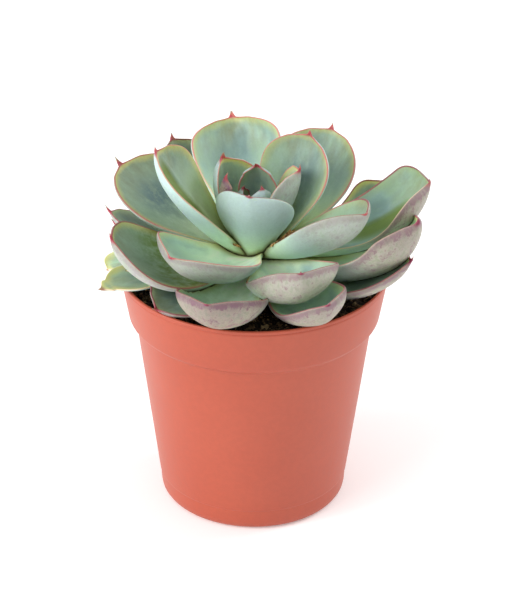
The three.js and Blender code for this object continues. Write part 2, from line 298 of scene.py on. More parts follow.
# Roughness = the shader's own, plus a noise spread from the first to the second value
def roughFrom(tree, shader, noise, spread):
    own = shader.inputs["Roughness"]
    node = addNode(tree, "ShaderNodeMapRange")
    feed(tree, node.inputs["Value"], noise)
    node.inputs["To Min"].default_value = own.default_value + spread[0]
    node.inputs["To Max"].default_value = own.default_value + spread[1]
    feed(tree, own, node.outputs["Result"])


# A strength times all its parts: each is a value by name, or a smooth ramp of one
def shareOf(tree, share, parts, values):
    for part in parts:
        factor = values[part] if isinstance(part, str) else rampOf(tree, values[part[0]], *part[1:])
        share = times(tree, share, factor)
    return share


# Lays colours over a first one; each layer is a colour's name, a strength and its parts
def layered(tree, colour, layers, colours, values):
    for name, strength, *parts in layers:
        colour = mixColours(tree, shareOf(tree, strength, parts, values), colour, colours[name])
    return colour


# A finish of noises on object coordinates and numbers stored in the mesh: layers of colour over a
# base and a bump and, where it has them, tones that multiply the colour and a wandering roughness
def makeFinish(name, finish):
    material, tree, shader = newMaterial(name, finish["roughness"], finish["specular"])
    values = {key: objectNoise(tree, *noise) for key, noise in finish["noises"].items()}
    values.update({key: attributeOf(tree, key) for key in finish.get("stored", [])})
    colour = layered(tree, finish["base"], finish["layers"], finish, values)
    if "tones" in finish:
        dark, light, *parts = finish["tones"]
        tone = mixColours(tree, shareOf(tree, 1, parts, values), dark, light)
        colour = mixColours(tree, 1.0, colour, tone, "MULTIPLY")
    feed(tree, shader.inputs["Base Color"], colour)
    if "roughSpread" in finish:
        noise, *spread = finish["roughSpread"]
        roughFrom(tree, shader, values[noise], spread)
    noise, *bump = finish["bump"]
    bumpFrom(tree, shader, [(values[noise], *bump)])
    return material


rosette = {
    "goldenAngle": 137.5,
    "firstAngle": -59.5,
    "crownHeight": 110.75,
    "leafSpacing": 0.45,
    "insertRadius": 6.5,
    "fullGrownOrder": 5,
    # order: turn, length, width, rise, lift, cup, twist, sweep, flesh (degrees and millimetres);
    # 27 is hidden, like those of the list below, but lies low, clear of the gap at the right
    "handSet": {
        1: (-4, 30, 17, 78, 118, 44, 10, -8, 2.2),
        2: (-15, 29, 12, 67, 93, 42, -4, -4, 2.2),
        3: (2, 33, 23, 73, 67, 56, -7, -4, 2.6),
        4: (4, 32, 28, 58, 85, 67, 1, 2, 1.6),
        5: (1, 36, 32, 59, 65, 44, -5, -14, 2.7),
        6: (-14, 44, 36, 58, 77, 27, 7, 11, 3.3),
        7: (14, 53, 38, 47, 64, 34, -8, -22, 4),
        8: (8, 53, 34, 22, 52, 62, 0, -12, 4),
        9: (2, 57, 43, 26, 42, 65, -11, 0, 4),
        10: (6, 54, 44, 8, 45, 44, -3, -15, 4),
        11: (-6, 73, 42, -2.5, 74, 54, 15, -30, 1.8),
        12: (7, 57, 40, 19, 36, 34, -13, -6, 4),
        13: (9, 57, 38, -8, 67, 46, 11, -30, 4),
        14: (-14, 56, 38, 27, 53, 34, 10, 8, 4),
        15: (6, 62, 40, -2, 60, 26, -20, 3, 4),
        16: (2, 72, 34, -6.5, 75, 58, 1, -19, 4),
        17: (7, 58, 34, 12, 60, 47, 7, 6, 4),
        18: (-1, 66, 38, -14, 57, 54, 0, 2, 4),
        19: (-7, 58, 23, -6, 67, 36, -11, 9, 3),
        20: (2, 53, 30, 5, 36, 20, 14, -5, 4),
        21: (-4, 62, 30, -14, 53, 44, 20, -26, 4),
        23: (6, 47, 30, -3, 6, 28, -16, -5, 3),
        24: (2, 50, 32, -2, 22, 36, 0, 0, 4),
        27: (0, 42, 28, 6, 14, 30, 0, 0, 3),
        28: (-20, 53.5, 19, 5, 2, 14, 0, 55, 1.8),
        29: (8, 62, 30, -3, 48, 34, 11, 1, 4),
        36: (-14, 57.5, 19, 12.5, -0.5, 17, -5, 22, 1.1),
    },
    # order: shoulder and tip bluntness, where a leaf's outline is its own
    "ownOutline": {
        9: (0.7, 0.85),
        11: (0.8, 0.52),
        16: (0.79, 0.9),
        19: (0.83, 0.6),
        28: (0.8, 0.7),
        36: (0.76, 1.25),
    },
    # horny points of another length than the usual one
    "ownMucro": {
        5: 0.9, 8: 0.9, 10: 1.2, 11: 1.8, 12: 4, 13: 0.9, 18: 0.7, 19: 0.4, 20: 4, 21: 0.9, 28: 0.8,
    },
    "hidden": [22, 25, 30, 32, 33, 35],
    "hiddenLength": 50,
    "hiddenLengthSpread": 4,
    "hiddenTurnSpread": 6,
    "hiddenWidth": 33,
    "hiddenRise": (16, 0.8),
    "hiddenLift": (34, 1.3),
    "hiddenCup": 36,
    "hiddenFlesh": (3.6, 1.8),
    "oldestOrder": 32,
    "randomSeed": 7,
}

leafForm = {
    # outline and spine
    "shoulder": 0.62,
    "footWidth": 0.34,
    "flare": 1.35,
    "tipRound": 2.3,
    "tipBlunt": 0.6,
    "curlStart": 1.6,
    "sweepStart": 1.5,
    "twistStart": 0.7,
    "rootLength": 2,
    # the horny point, and how the blade runs into it
    "mucroLength": 2.6,
    "mucroRadius": 1.1,
    "mucroFlare": 1.2,
    "flareReach": (-4, -0.3),
    "mucroTaper": 1.7,
    "mucroHook": 0.9,
    "hookCurve": 1.5,
    "tipPinch": 0.4,
    "pinchReach": 1.7,
    # flesh under the face, and the edge
    "edgeRadius": 0.4,
    "edgeShare": 0.7,  # most of the half width that the edge's roundness may take
    "fleshSpread": 0.8,
    "fleshAtFoot": 0.6,
    "fleshStart": 0.5,
    "fleshEnd": 6,
    # points along, over the point and across
    "spineSteps": 241,
    "stations": 64,
    "mucroStations": 9,
    "acrossPoints": 37,
    "rollPoints": 5,
    # soft lumps, wavy margins, a keel below and a crease above: depths, then where they fade in
    "seed": 100,
    "lumps": 0.22,
    "lumpWaves": (1.6, 0.7, 3),  # along, across, and apart between face and underside
    "lumpFade": (0.05, 0.3),
    "lumpMargin": 3,
    "waves": 0.3,
    "waveWaves": (1.5, 1.7, 3),  # along, apart between the margins, how many
    "waveEdge": 4,
    "waveFade": (0.2, 0.6),
    "keel": 0.7,
    "keelWidth": 0.22,
    "keelFade": (0.35, 0.85),
    "keelEnd": 8,
    "crease": 0.25,
    "creaseWidth": 1.3,
    "creaseFade": (0.1, 0.4),
    "creaseEnd": 6,
    # order: place across, where the hollow ends, ridge, hollow, and where it starts and ends along
    "folds": {
        7: (-0.14, 1, 0.45, 1.3, 0.25, 0.97),
        11: (0.38, -0.6, 0.5, 1.2, 0.25, 0.85),
    },
    "foldRidge": 0.06,
    "foldFade": (0.25, 0.14),
    "furrowEdges": (0.08, 0.25, 0.55),
}


# The classic multiply-and-remainder stream, so that hidden leaves lie where their solids lie
def lehmerStream(state):
    factor, modulus = 16807, 2147483647
    while True:
        state = (state * factor) % modulus
        yield state / modulus


# Azimuth = first angle + golden angle x order; each older leaf starts a little lower, and the
# young ones start nearer to the axis
def onSpiral(order):
    young = max(rosette["fullGrownOrder"] - order, 0)
    return {
        "order": order,
        "azimuth": rosette["firstAngle"] + rosette["goldenAngle"] * order,
        "startRadius": rosette["insertRadius"] - rosette["leafSpacing"] * young,
        "startHeight": rosette["crownHeight"] - rosette["leafSpacing"] * order,
        "shoulder": leafForm["shoulder"],
        "tipBlunt": leafForm["tipBlunt"],
        "mucro": leafForm["mucroLength"],
        "twist": 0,
        "sweep": 0,
    }


# The leaves listed one by one, then the hidden ones, whose rise and lift fall by a step with each order
# and whose turn and length are drawn
def allLeaves():
    names = ("length", "width", "rise", "lift", "cup", "twist", "sweep", "flesh")
    leaves = []
    for order, (turn, *values) in rosette["handSet"].items():
        leaf = onSpiral(order)
        leaf["azimuth"] += turn
        leaf.update(zip(names, values))
        usual = (leaf["shoulder"], leaf["tipBlunt"])
        leaf["shoulder"], leaf["tipBlunt"] = rosette["ownOutline"].get(order, usual)
        leaf["mucro"] = rosette["ownMucro"].get(order, leaf["mucro"])
        leaves.append(leaf)
    stream = lehmerStream(rosette["randomSeed"])
    for order in rosette["hidden"]:
        age = order - rosette["hidden"][0]
        leaf = onSpiral(order)
        leaf["azimuth"] += rosette["hiddenTurnSpread"] * (2 * next(stream) - 1)
        leaf["length"] = rosette["hiddenLength"] + rosette["hiddenLengthSpread"] * next(stream)
        leaf["width"] = rosette["hiddenWidth"]
        leaf["cup"] = rosette["hiddenCup"]
        leaf["flesh"] = rosette["hiddenFlesh"][1 if order >= rosette["oldestOrder"] else 0]
        for name, (first, step) in (("rise", rosette["hiddenRise"]), ("lift", rosette["hiddenLift"])):
            leaf[name] = first - step * age
        leaves.append(leaf)
    return sorted(leaves, key=lambda leaf: leaf["order"])


# Half width: a sine swell from the foot to the shoulder, then a rounded power curve to the tip,
# joined to the mucro's exponential flare as the root of the sum of squares
def halfWidth(leaf, station):
    t = np.clip(station / leaf["length"], 0, 1)
    shoulder = leaf["shoulder"]
    swell = np.sin(math.pi / 2 * np.minimum(t / shoulder, 1)) ** leafForm["flare"]
    past = np.clip((t - shoulder) / (1 - shoulder), 0, 1)
    blade = np.where(
        t < shoulder,
        leafForm["footWidth"] + (1 - leafForm["footWidth"]) * swell,
        (1 - past ** leafForm["tipRound"]) ** leaf["tipBlunt"],
    ) * leaf["width"] / 2
    beyond = station - leaf["length"]
    blade = blade * (1 - leafForm["tipPinch"] * np.exp(-(beyond / leafForm["pinchReach"]) ** 2))
    start, full = leafForm["flareReach"]
    flare = np.exp(-np.clip(beyond, start, 0) / leafForm["mucroFlare"]) * smoothStep(start, full, beyond)
    taper = np.clip(1 - beyond / leaf["mucro"], 0, 1) ** leafForm["mucroTaper"]
    base = leafForm["mucroRadius"] * min(leaf["mucro"] / leafForm["mucroLength"], 1)
    thorn = base * np.where(beyond > 0, taper, flare)
    return np.sqrt(blade ** 2 + thorn ** 2)


# The spine: pitch and heading turn by powers of the way along, and their directions are summed.
# Past the blade's end it goes on straight and hooks upwards by a power of the way over the point.
def spineFrames(leaf, station):
    steps = np.linspace(0, 1, leafForm["spineSteps"])
    start = math.radians(leaf["azimuth"])
    turned = (leaf["lift"] - leaf["rise"]) * steps ** leafForm["curlStart"]
    pitch = np.radians(leaf["rise"] + turned)
    heading = start + np.radians(leaf["sweep"]) * steps ** leafForm["sweepStart"]
    along = np.stack([np.cos(pitch) * np.cos(heading), np.cos(pitch) * np.sin(heading), np.sin(pitch)], 1)
    stepLength = leaf["length"] / (len(steps) - 1)
    walked = np.vstack([np.zeros(3), np.cumsum((along[1:] + along[:-1]) / 2 * stepLength, axis=0)])
    walked += [leaf["startRadius"] * math.cos(start), leaf["startRadius"] * math.sin(start),
               leaf["startHeight"]]
    t = np.clip(station / leaf["length"], 0, 1)

    def pick(values):
        return np.stack([np.interp(t, steps, values[:, k]) for k in range(3)], 1)

    direction = pick(along)
    direction /= np.linalg.norm(direction, axis=1, keepdims=True)
    overrun = (station - np.clip(station, 0, leaf["length"]))[:, None]
    bent = np.maximum(overrun / leaf["mucro"], 0) ** leafForm["hookCurve"]
    hook = leafForm["mucroHook"] * leaf["mucro"] / leafForm["mucroLength"] * bent
    heading = np.interp(t, steps, heading)
    level = np.stack([-np.sin(heading), np.cos(heading), np.zeros_like(heading)], 1)
    face = np.cross(direction, level)
    twist = (np.radians(leaf["twist"]) * t ** leafForm["twistStart"])[:, None]
    side = level * np.cos(twist) + face * np.sin(twist)
    normal = face * np.cos(twist) - level * np.sin(twist)
    point = pick(walked) + direction * overrun + normal * hook
    return point, side, normal, t


# One ring of the leaf as shares: across the face, out round the edge, and up or down
def ringShape():
    face = np.linspace(-1, 1, leafForm["acrossPoints"])
    roll = np.linspace(0, math.pi, leafForm["rollPoints"] + 2)[1:-1]
    rim = np.ones_like(roll)
    across = np.concatenate([face, rim, face[::-1], -rim])
    out = np.concatenate([0 * face, np.sin(roll), 0 * face, -np.sin(roll)])
    rise = np.concatenate([0 * face + 1, np.cos(roll), 0 * face - 1, -np.cos(roll)])
    return across, out, rise


# A fold in the face: a thin bell-shaped ridge at one place across, and a hollow, half a sine wave,
# from it to where it ends. The furrow is the hollow's near half, for the shader.
def foldRelief(fold, v, t):
    place, end, ridge, hollow, first, last = fold
    share = np.clip((v - place) / (end - place), 0, 1)
    fadeIn, fadeOut = leafForm["foldFade"]
    reach = smoothStep(first, first + fadeIn, t) * (1 - smoothStep(last - fadeOut, last, t))
    bell = np.exp(-((v - place) / leafForm["foldRidge"]) ** 2)
    relief = ridge * bell - hollow * np.sin(math.pi * share)
    near, middle, far = leafForm["furrowEdges"]
    furrow = smoothStep(0, near, share) * (1 - smoothStep(middle, far, share))
    return relief * reach, furrow * reach


# Relief of one leaf, above and below: lumps away from the margin, a keel, a crease and waves of the
# margin, each a bell, a power or ripples across it times a smooth step along it, and a fold
def leafRelief(leaf, half, v, offAxis, along, under):
    form = leafForm
    random = np.random.default_rng(form["seed"] + leaf["order"])
    inside = smoothStep(0, form["lumpMargin"], half[:, None] * (1 - np.abs(v)))
    alongWaves, acrossWaves, apart = form["lumpWaves"]
    lumps = ripples(random, along * alongWaves, v * acrossWaves + apart * under)
    relief = form["lumps"] * lumps * inside * smoothStep(*form["lumpFade"], along)
    keel = np.exp(-(v / form["keelWidth"]) ** 2)
    keel = keel * smoothStep(*form["keelFade"], along) * (1 - along ** form["keelEnd"])
    relief = relief - under * form["keel"] * keel
    gutter = np.exp(-(offAxis / form["creaseWidth"]) ** 2)
    gutter = gutter * smoothStep(*form["creaseFade"], along) * (1 - along ** form["creaseEnd"])
    relief = relief - (1 - under) * form["crease"] * gutter
    furrow = 0 * v
    if leaf["order"] in form["folds"]:
        fold, furrow = foldRelief(form["folds"][leaf["order"]], v, along)
        relief = relief + (1 - under) * fold
    alongWaves, apart, count = form["waveWaves"]
    wave = ripples(random, along * alongWaves, np.sign(v) * apart, count)
    wave = wave * np.abs(v) ** form["waveEdge"] * smoothStep(*form["waveFade"], along)
    relief = relief + form["waves"] * wave
    return relief, furrow


# Leaf surface: each ring is an arc of half angle cup across the spine. Upper points lie on it,
# under points lie below it by the edge's thickness and flesh x (1 - v^2)^fleshSpread, and a half
# circle joins them at the margin. grow makes the same leaf larger all round, as a cutter.
def leafSurface(leaf, grow=0.0):
    form = leafForm
    reach = leaf["length"] * np.sin(math.pi / 2 * np.linspace(0, 1, form["stations"]))
    mucro = leaf["mucro"] * np.linspace(0, 1, form["mucroStations"] + 1)[1:-1]
    station = np.concatenate([[-form["rootLength"]], reach, leaf["length"] + mucro])
    half = halfWidth(leaf, station)
    point, side, normal, t = spineFrames(leaf, station)
    across, out, rise = ringShape()
    radius = np.minimum(form["edgeRadius"], form["edgeShare"] * half)[:, None]
    offAxis = (half[:, None] - radius) * across + radius * out
    v = offAxis / half[:, None]
    under = (1 - rise) / 2
    depthAlong = form["fleshAtFoot"] + (1 - form["fleshAtFoot"]) * np.sin(
        math.pi / 2 * np.minimum(t / form["fleshStart"], 1))
    flesh = leaf["flesh"] * depthAlong * (1 - t ** form["fleshEnd"])
    fullness = flesh[:, None] * np.clip(1 - v ** 2, 0, 1) ** form["fleshSpread"]
    relief, furrow = leafRelief(leaf, half, v, offAxis, t[:, None], under)
    lift = -form["edgeRadius"] + radius * rise - under * fullness + relief + grow * rise
    cup = math.radians(leaf["cup"])
    bend = cup * v
    wide = half[:, None] + grow
    sideways = wide * np.sin(bend) / cup - lift * np.sin(bend)
    upwards = wide * (1 - np.cos(bend)) / cup + lift * np.cos(bend)
    rings = point[:, None] + side[:, None] * sideways[..., None] + normal[:, None] * upwards[..., None]
    slope = np.gradient(half, station)
    margin = half[:, None] * (1 - np.abs(v)) / np.sqrt(1 + slope ** 2)[:, None]
    beyond = (station - leaf["length"]) / min(leaf["mucro"] / form["mucroLength"], 1)
    startPole = rings[0].mean(0)
    endPole = 2 * point[-1] - point[-2] - normal[-1] * form["edgeRadius"]
    points, quads, triangles = closedGrid(rings, startPole, endPole)

    def overPoints(grid, poles):
        return np.append(np.broadcast_to(grid, rings.shape[:2]).ravel(), poles)

    # what the shader reads at each point; the last two values are for the poles
    facts = {
        "along": overPoints(t[:, None], [0, 1]),
        "across": overPoints(v, [0, 0]),
        "margin": overPoints(margin, [5, 0]),
        "under": overPoints(under, [1, 0.5]),
        "furrow": overPoints(furrow, [0, 0]),
        "thorn": overPoints(beyond[:, None], [-leaf["length"], form["mucroLength"]]),
        "sideways": overPoints(offAxis, [0, 0]),
        "reach": overPoints(station[:, None], [-form["rootLength"], leaf["length"] + leaf["mucro"]]),
    }
    return points, quads, triangles, facts


leafSkin = {
    # pale mint, lighter than the leaf's own so that it also stands in as painted bounce light on shaded
    # feet
    "foot": paint(228, 243, 218),
    "face": paint(150, 178, 154),
    "faceBlue": paint(142, 172, 172),
    "faceGrey": paint(124, 133, 106),
    "deep": paint(92, 116, 54),
    "gold": paint(188, 202, 118),
    "furrow": paint(104, 124, 50),
    "inky": paint(84, 110, 112),
    "olive": paint(190, 184, 120),
    "rimPale": paint(214, 186, 160),
    "rimRose": paint(184, 104, 106),
    "rimCrimson": paint(126, 44, 74),
    # painted shade with an olive glow where a leaf comes close to its neighbours
    "seam": paint(136, 136, 66),
    # painted shadow in the narrowest gaps between leaves
    "crack": paint(74, 54, 30),
    "thorn": paint(160, 62, 78),
    "thornDry": paint(140, 104, 88),
    "underFoot": paint(206, 230, 200),
    "underIce": paint(180, 202, 202),
    "underCream": paint(180, 174, 148),
    "underMauve": paint(124, 86, 104),
    "underGreen": paint(146, 164, 134),
    # noises in the leaf's own millimetres: scale across, scale along, detail, roughness
    "noises": {
        "slow": (0.09, 0.045, 2, 0.55),
        "streak": (0.32, 0.12, 3, 0.55),
        "patch": (0.34, 0.22, 5, 0.65),
        "mottle": (0.7, 0.42, 5, 0.7),
    },
    "leafStep": 7.3,  # how far apart in the noises two leaves are
    "fineNoise": (1100, 4, 0.65),
    # layers of colour, laid one over the other: a colour, its strength and what multiplies it, which
    # is a value by name or a smooth ramp of one, from where it is 0 to where it is 1
    "faceLayers": [
        ("face", 1, ("along", 0.0, 0.65)),
        ("faceBlue", 1, "blue", ("slow", 0.35, 0.6), ("streak", -0.2, 0.8)),
        ("faceGrey", 1, ("along", 0.45, 0.95), ("streak", -0.1, 0.9)),
        ("inky", 0.4, ("slow", 0.52, 0.68), ("margin", 1.5, 7.0)),
        # deep green on the foot: partly the leaf's own colour, partly painted shade under the leaves above
        ("deep", 1, "shade", ("along", 0.85, 0.45), ("patch", 0.25, 0.7)),
        ("gold", 1, "gold", ("along", 0.8, 0.15)),
        ("inky", 1, "pool", ("patch", 0.15, 0.6)),
        ("olive", 1, "olive", ("wandering", 6.2, 2.2)),
        ("furrow", 0.92, "furrow"),
    ],
    "underLayers": [
        ("underIce", 1, ("along", 0.05, 0.6)),
        ("underCream", 1, "ripe"),
        ("underGreen", 0.75, "ripe", ("mottle", 0.52, 0.38)),
        ("underMauve", 1, "ripe", "mauve"),
    ],
    "rimLayers": [("rimRose", 1, ("rimTone", 0.0, 0.5)), ("rimCrimson", 1, ("rimTone", 0.5, 1.0))],
    "pointLayers": [("thorn", 1, ("rim", 0.0, 0.3)), ("rimCrimson", 1, ("rim", 0.9, 1.1))],
    "overLayers": [
        ("rimColour", 0.85, ("rimEdge", 0.6, 0.3), ("along", 0.1, 0.4), ("under", 0.8, 0.45)),
        # painted shade and glow, then painted gap shadow, from how close the neighbouring leaves are
        ("seam", 0.75, ("closeness", 0.0032, 0.0003), ("along", 0.65, 0.25)),
        # painted shadow where the gap to a neighbour is under a millimetre
        ("crack", 0.75, ("closeness", 0.0009, 0.0002), ("along", 0.55, 0.2)),
        ("pointColour", 1, ("thorn", -1.2, 0.3)),
        ("thornDry", 1, ("thorn", 1.4, 2.5)),
    ],
    "wander": 4.0,  # how much narrower, in millimetres, the patches make the olive band and the mauve
    "rimWaver": 0.5,
    "rimSpread": 0.45,
    "rimStart": (0.2, 0.8),
    "ripening": (0.3, 0.8),
    # the mauve of the underside: ramps with a strength each
    "clouds": (0.42, 0.62, 0.5),
    "marginFlush": (5.6, 2.2, 0.8),
    "speckles": (0.5, 0.66, 0.6),
    "edging": (1.5, 0.4, 0.7),
    "tipFlush": (0.6, 1.0, 0.6),
    "grain": 0.26,
    "roughness": 0.5,
    "roughSpread": (-0.08, 0.12),
    "specular": 0.35,
    "through": 0.3,
    "throughDepth": (0.8, 1.0, 0.4),
    "throughScale": 0.004,
    "patchBump": (0.2, 0.0008),
    "fineBump": (0.25, 0.0002),
}


# Noise in the leaf's own millimetres, across and along it, and different on every leaf
def leafNoise(tree, across, along, detail, roughness):
    place = addNode(tree, "ShaderNodeCombineXYZ")
    feed(tree, place.inputs["X"], times(tree, attributeOf(tree, "sideways"), across))
    feed(tree, place.inputs["Y"], times(tree, attributeOf(tree, "reach"), along))
    feed(tree, place.inputs["Z"], times(tree, attributeOf(tree, "number"), leafSkin["leafStep"]))
    noise = addNode(tree, "ShaderNodeTexNoise")
    feed(tree, noise.inputs["Vector"], place.outputs["Vector"])
    noise.inputs["Scale"].default_value = 1
    noise.inputs["Detail"].default_value = detail
    noise.inputs["Roughness"].default_value = roughness
    return noise.outputs["Fac"]


# Face: mint foot, lightened as painted bounce light, glaucous middle and grey-green tip in soft lengthwise
# streaks, with an olive band inside the rim. Underside: mint foot to ice blue, or cream with a mauve flush
# on the old leaves.
# Painted shade and glow lie where leaves come close, and a tone, raised on shaded leaves as painted light,
# multiplies it.
def makeLeafSkin(name, skin):
    material, tree, shader = newMaterial(name, skin["roughness"], skin["specular"])
    stored = ("along", "margin", "under", "thorn", "furrow", "pool", "closeness") + lookNames
    values = {name: attributeOf(tree, name) for name in stored}
    values.update({name: leafNoise(tree, *noise) for name, noise in skin["noises"].items()})
    fine = objectNoise(tree, *skin["fineNoise"])
    patch, blush, rim = values["patch"], values["blush"], values["rim"]
    values["wandering"] = math2(tree, "ADD", values["margin"], times(tree, patch, skin["wander"]))
    spread = times(tree, rim, skin["rimSpread"])
    rimReach = math2(tree, "SUBTRACT", times(tree, patch, skin["rimWaver"]), spread)
    values["rimEdge"] = math2(tree, "ADD", values["margin"], rimReach)
    values["rimTone"] = times(tree, rim, rampOf(tree, values["along"], *skin["rimStart"]))
    values["ripe"] = times(tree, blush, rampOf(tree, values["along"], *skin["ripening"]))

    clouds = fading(tree, patch, *skin["clouds"])
    flush = fading(tree, values["wandering"], *skin["marginFlush"])
    speckles = fading(tree, values["mottle"], *skin["speckles"])
    edging = fading(tree, values["rimEdge"], *skin["edging"])
    tipFlush = times(tree, blush, fading(tree, values["along"], *skin["tipFlush"]))
    mauve = math2(tree, "ADD", clouds, flush, clamp=True)
    mauve = math2(tree, "ADD", mauve, speckles, clamp=True)
    values["mauve"] = math2(tree, "MAXIMUM", mauve, math2(tree, "MAXIMUM", edging, tipFlush))

    face = layered(tree, skin["foot"], skin["faceLayers"], skin, values)
    lower = layered(tree, skin["underFoot"], skin["underLayers"], skin, values)
    over = dict(skin)
    over["rimColour"] = layered(tree, skin["rimPale"], skin["rimLayers"], skin, values)
    over["pointColour"] = layered(tree, skin["thornDry"], skin["pointLayers"], skin, values)
    colour = mixColours(tree, values["under"], face, lower)
    colour = layered(tree, colour, skin["overLayers"], over, values)
    # tone of face and underside: partly the leaf's own, and raised above 1 on leaves in shadow as painted
    # light
    tone = mixColours(tree, values["under"], values["tone"], values["underTone"])
    brightness = math2(tree, "ADD", tone, times(tree, fine, skin["grain"]))
    brightness = math2(tree, "ADD", brightness, times(tree, patch, skin["grain"]))
    feed(tree, shader.inputs["Base Color"], mixColours(tree, 1.0, colour, brightness, "MULTIPLY"))
    roughFrom(tree, shader, patch, skin["roughSpread"])
    shader.inputs["Subsurface Weight"].default_value = skin["through"]
    shader.inputs["Subsurface Radius"].default_value = skin["throughDepth"]
    shader.inputs["Subsurface Scale"].default_value = skin["throughScale"]
    bumpFrom(tree, shader, [(patch, *skin["patchBump"]), (fine, *skin["fineBump"])])
    return material


# order: blush of the underside, olive band, deep green foot (partly painted shade), blueness, rim redness,
# tone of the face (partly its own, raised above 1 as painted light on leaves in shadow), gold foot, tone
# of the underside
lookNames = ("blush", "olive", "shade", "blue", "rim", "tone", "gold", "underTone")
leafLooks = {
    1: (0.0, 0.1, 0.2, 1.0, 0.6, 0.98, 0, 0.6),
    2: (1.0, 0.6, 0.3, 0.2, 0.8, 0.75, 0.2, 0.75),
    3: (0.4, 0.7, 0.2, 0.3, 0.5, 1.1, 0.3, 0.95),
    4: (0.0, 1.0, 0.5, 0.0, 0.6, 1.15, 0.7, 0.85),
    5: (0.05, 0.2, 0.0, 1.0, 1.0, 0.74, 0.1, 0.7),
    6: (0.0, 0.45, 0.4, 1.0, 0.5, 0.88, 0.2, 0.84),
    7: (0.0, 0.8, 0.3, 0.3, 0.4, 0.88, 0.7, 0.84),
    8: (0.45, 0.3, 0.0, 0.8, 0.9, 0.84, 0.1, 0.84),
    9: (0.0, 0.5, 0.0, 1.0, 0.5, 1.13, 0.0, 0.9),
    10: (0.5, 0.5, 0.0, 0.5, 0.8, 1.3, 0.1, 0.68),
    11: (0.8, 0.2, 0.2, 1.3, 1.1, 1.08, 0.1, 0.78),
    12: (0.2, 0.9, 0.3, 0.0, 0.7, 0.64, 0.15, 0.62),
    13: (0.7, 0.2, 0.0, 0.8, 1.1, 1.08, 0, 0.88),
    14: (0.2, 0.5, 0.2, 0.8, 0.6, 0.9, 0.5, 0.74),
    15: (0.5, 0.8, 1.2, 0.0, 0.9, 0.88, 0.4, 0.8),
    16: (0.8, 0.4, 0.0, 0.6, 1.1, 2.3, 0.3, 0.8),
    17: (0.3, 0.4, 0.5, 0.2, 0.9, 0.62, 0.2, 0.62),
    18: (0.9, 0.3, 0.3, 0.3, 1.1, 1.45, 0, 0.68),
    19: (0.5, 0.9, 0.8, 0.0, 1.1, 1.25, 0.8, 0.64),
    20: (0.4, 0.3, 0.4, 0.2, 0.9, 1.12, 0, 0.76),
    21: (0.8, 0.3, 0.2, 0.3, 1.1, 1.8, 0, 0.75),
    23: (0.6, 0.3, 0.7, 0.3, 0.9, 0.62, 0, 0.62),
    28: (0.0, 0.6, 0.0, 1.0, 0.0, 1.8, 0, 1.5),
    29: (0.8, 0.4, 0.6, 0.2, 1.1, 1.0, 0, 0.8),
    36: (0.0, 0.7, 0.3, 0.1, 0.0, 1.0, 0.6, 1.0),
}
usualLook = (0.7, 0.5, 0.4, 0.3, 0.7, 0.75, 0.1, 0.7)

carving = {
    "clearance": 0.15,  # left between a leaf and what it is pressed against
    "sharpAngle": 40,
    # what the shader sees on a cut face
    "cutFace": {"along": 0.3, "margin": 5, "under": 1, "thorn": -20, "furrow": 0, "underTone": 0.6},
}

leafMarks = {
    # order: strength of the dark teal pool in the middle of the face
    "pools": {1: 0.6, 3: 0.3, 4: 0.7, 5: 0, 6: 0.75, 9: 0.5, 12: 1, 14: 0.8},
    "usualPool": 0.25,
    "poolPlace": (0.66, 0.2),  # its middle and reach along the leaf
    "poolMargin": (0.2, 0.95),  # shares of half the width, in from the margin
    # order: share of the rim's redness on the margin that is nearer to the camera
    "lowRim": {11: 0.15},
}


# A leaf's surface with its look's values added to the facts of its points, and less redness on a
# low rim. The pool is a bell along the leaf times a smooth step in from the margin.
def dressedLeaf(leaf, look, grow=0.0):
    points, quads, triangles, facts = leafSurface(leaf, grow)
    for key, value in look.items():
        facts[key] = np.full(len(points), float(value))
    facts["rim"] *= np.where(facts["across"] < 0, leafMarks["lowRim"].get(leaf["order"], 1), 1)
    middle, reach = leafMarks["poolPlace"]
    bell = np.exp(-((facts["along"] - middle) / reach) ** 2)
    inwards = smoothStep(*leafMarks["poolMargin"], facts["margin"] * 2 / leaf["width"])
    facts["pool"] = leafMarks["pools"].get(leaf["order"], leafMarks["usualPool"]) * bell * inwards
    return points, quads, triangles, facts


# Stores at every point of a piece how far off, in metres, its neighbours' nearest face is; the leaf skin
# paints shade and glow from it
def storeCloseness(piece, neighbours):
    tree = bpy.data.node_groups.new("closeness", "GeometryNodeTree")
    for way in ("INPUT", "OUTPUT"):
        tree.interface.new_socket("Geometry", in_out=way, socket_type="NodeSocketGeometry")
    start, end = tree.nodes.new("NodeGroupInput"), tree.nodes.new("NodeGroupOutput")
    others = tree.nodes.new("GeometryNodeJoinGeometry")
    for neighbour in neighbours:
        info = tree.nodes.new("GeometryNodeObjectInfo")
        info.inputs["Object"].default_value = neighbour
        tree.links.new(info.outputs["Geometry"], others.inputs[0])
    proximity = tree.nodes.new("GeometryNodeProximity")
    tree.links.new(others.outputs[0], proximity.inputs[0])
    store = tree.nodes.new("GeometryNodeStoreNamedAttribute")
    store.inputs["Name"].default_value = "closeness"
    tree.links.new(start.outputs[0], store.inputs["Geometry"])
    tree.links.new(proximity.outputs["Distance"], store.inputs["Value"])
    tree.links.new(store.outputs[0], end.inputs[0])
    piece.modifiers.new("closeness", "NODES").node_group = tree
    applyModifiers(piece)


